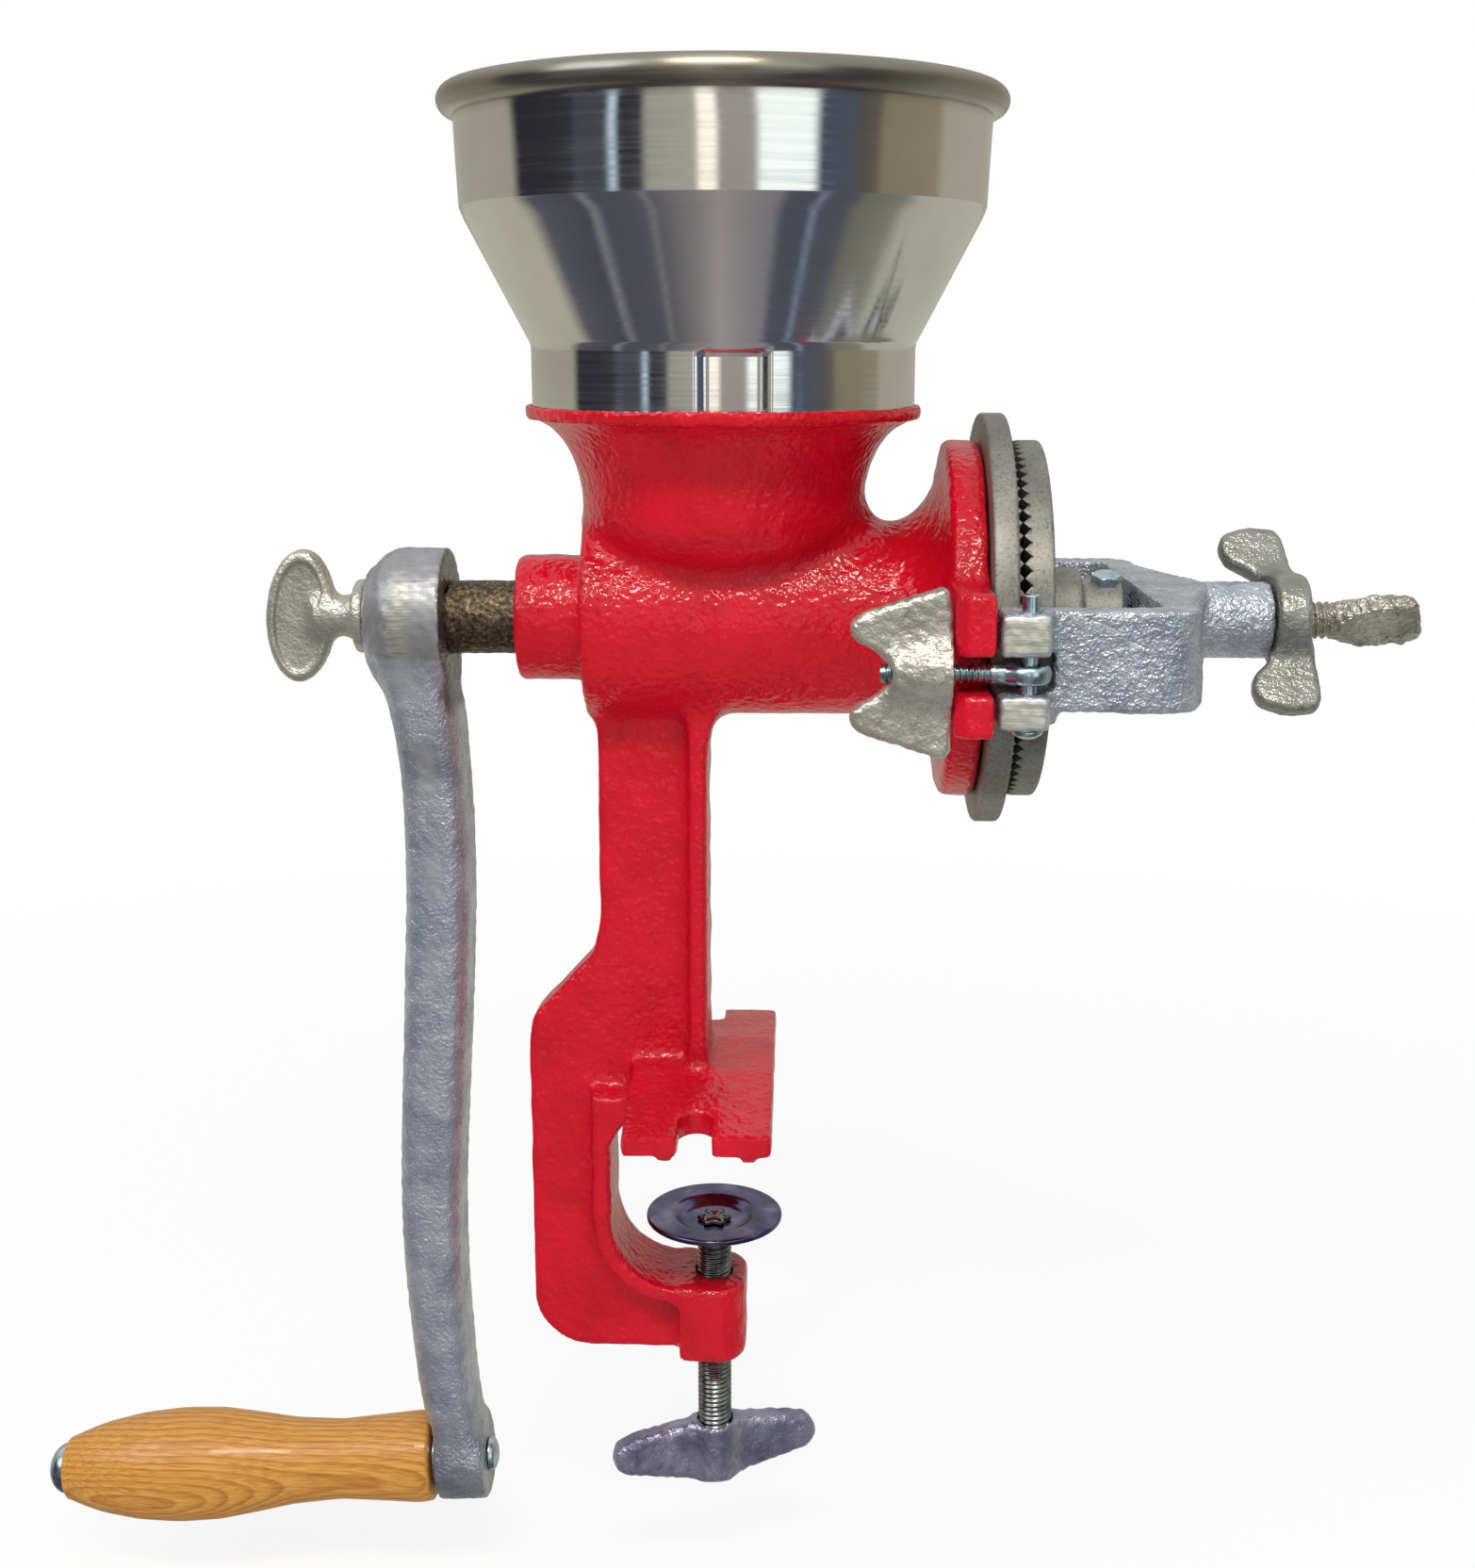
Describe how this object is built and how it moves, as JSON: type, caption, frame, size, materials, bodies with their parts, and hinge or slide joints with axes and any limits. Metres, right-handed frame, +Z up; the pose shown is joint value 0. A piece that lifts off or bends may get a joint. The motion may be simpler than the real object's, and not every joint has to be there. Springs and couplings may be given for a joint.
{
  "type": "hand crank grinder",
  "caption": "Hand cranked table grinder with a round hopper, toothed grinding discs, a swing bolt yoke, a wooden grip and a screw clamp for a table edge.",
  "frame": {"origin": "on the axis of the clamp screw, in the plane of the table top under the foot", "axes": "+X along the shaft from the crank to the grinding discs, +Y away from the side that the picture shows, +Z up"},
  "size_m": [0.388, 0.1438, 0.4066],
  "materials": {
    "red_enamel": "glossy enamel over a sand casting",
    "polished_aluminium": "spun and polished",
    "silver_paint": "silver paint over a rough casting",
    "grey_iron": "bare grey iron, ground face",
    "raw_iron": "raw dark casting",
    "zinc_plate": "bright zinc plate",
    "blued_steel": "blued pressed steel",
    "varnished_wood": "clear varnish"
  },
  "bodies": {
    "base": {"body_casting": "red_enamel", "fixed_disc": "grey_iron", "disc_screw_upper": "zinc_plate", "disc_screw_lower": "zinc_plate", "yoke": "silver_paint", "hinge_pin_near": "zinc_plate", "hinge_pin_far": "zinc_plate"},
    "hopper": {"hopper": "polished_aluminium"},
    "thrust": {"thrust_ball": "zinc_plate"},
    "shaft": {"worm_shaft": "raw_iron", "crank_arm": "silver_paint", "grip_rivet": "zinc_plate", "grip_washer": "zinc_plate", "turning_disc": "grey_iron", "cross_bolt": "zinc_plate", "cross_nut": "zinc_plate"},
    "grip": {"grip": "varnished_wood"},
    "thumb_screw": {"crank_thumb_screw": "silver_paint"},
    "adjuster": {"adjusting_screw": "silver_paint"},
    "lock_nut": {"lock_wing_nut": "silver_paint"},
    "pad": {"clamp_pad": "blued_steel"},
    "clamp_handle": {"clamp_screw": "zinc_plate", "clamp_wing_handle": "silver_paint"},
    "swing_near": {"swing_bolt_near": "zinc_plate"},
    "swing_far": {"swing_bolt_far": "zinc_plate"},
    "nut_near": {"wing_nut_near": "silver_paint"},
    "nut_far": {"wing_nut_far": "silver_paint"}
  },
  "joints": [
    {"name": "hopper_lift", "type": "slide", "parent": "base", "child": "hopper", "axis": [0, 0, 1], "range_m": [0, 0.06]},
    {"name": "grind_gap", "type": "slide", "parent": "base", "child": "thrust", "axis": [1, 0, 0], "range_m": [0, 0.002]},
    {"name": "crank_turn", "type": "hinge", "parent": "thrust", "child": "shaft", "pos_m": [0, 0, 0.1355], "axis": [1, 0, 0], "continuous": true},
    {"name": "grip_spin", "type": "hinge", "parent": "shaft", "child": "grip", "pos_m": [-0.0746, 0, -0.116], "axis": [0.9983, 0, 0.0576], "continuous": true},
    {"name": "thumb_screw_turn", "type": "hinge", "parent": "shaft", "child": "thumb_screw", "pos_m": [-0.1, 0, 0.1355], "axis": [-1, 0, 0], "range_deg": [0, 720]},
    {"name": "adjuster_turn", "type": "hinge", "parent": "thrust", "child": "adjuster", "pos_m": [0.15, 0, 0.1355], "axis": [1, 0, 0], "range_deg": [0, 480]},
    {"name": "lock_nut_turn", "type": "hinge", "parent": "base", "child": "lock_nut", "pos_m": [0.15, 0, 0.1355], "axis": [1, 0, 0], "range_deg": [0, 180]},
    {"name": "pad_lift", "type": "slide", "parent": "base", "child": "pad", "axis": [0, 0, 1], "range_m": [-0.012, 0.021]},
    {"name": "clamp_turn", "type": "hinge", "parent": "pad", "child": "clamp_handle", "pos_m": [0, 0, -0.1], "axis": [0, 0, 1], "range_deg": [-2880, 5040]},
    {"name": "swing_near_turn", "type": "hinge", "parent": "base", "child": "swing_near", "pos_m": [0.0776, -0.0605, 0.131], "axis": [0, 0, 1], "range_deg": [0, 95]},
    {"name": "swing_far_turn", "type": "hinge", "parent": "base", "child": "swing_far", "pos_m": [0.0776, 0.0605, 0.131], "axis": [0, 0, 1], "range_deg": [-95, 0]},
    {"name": "nut_near_turn", "type": "hinge", "parent": "swing_near", "child": "nut_near", "pos_m": [0.05, -0.0605, 0.131], "axis": [-1, 0, 0], "range_deg": [0, 720]},
    {"name": "nut_far_turn", "type": "hinge", "parent": "swing_far", "child": "nut_far", "pos_m": [0.05, 0.0605, 0.131], "axis": [-1, 0, 0], "range_deg": [0, 720]}
  ],
  "couplings": [
    {"joint": "adjuster_turn", "follows": "grind_gap", "rad_per_m": 4188.8},
    {"joint": "clamp_turn", "follows": "pad_lift", "rad_per_m": 4188.8}
  ]
}
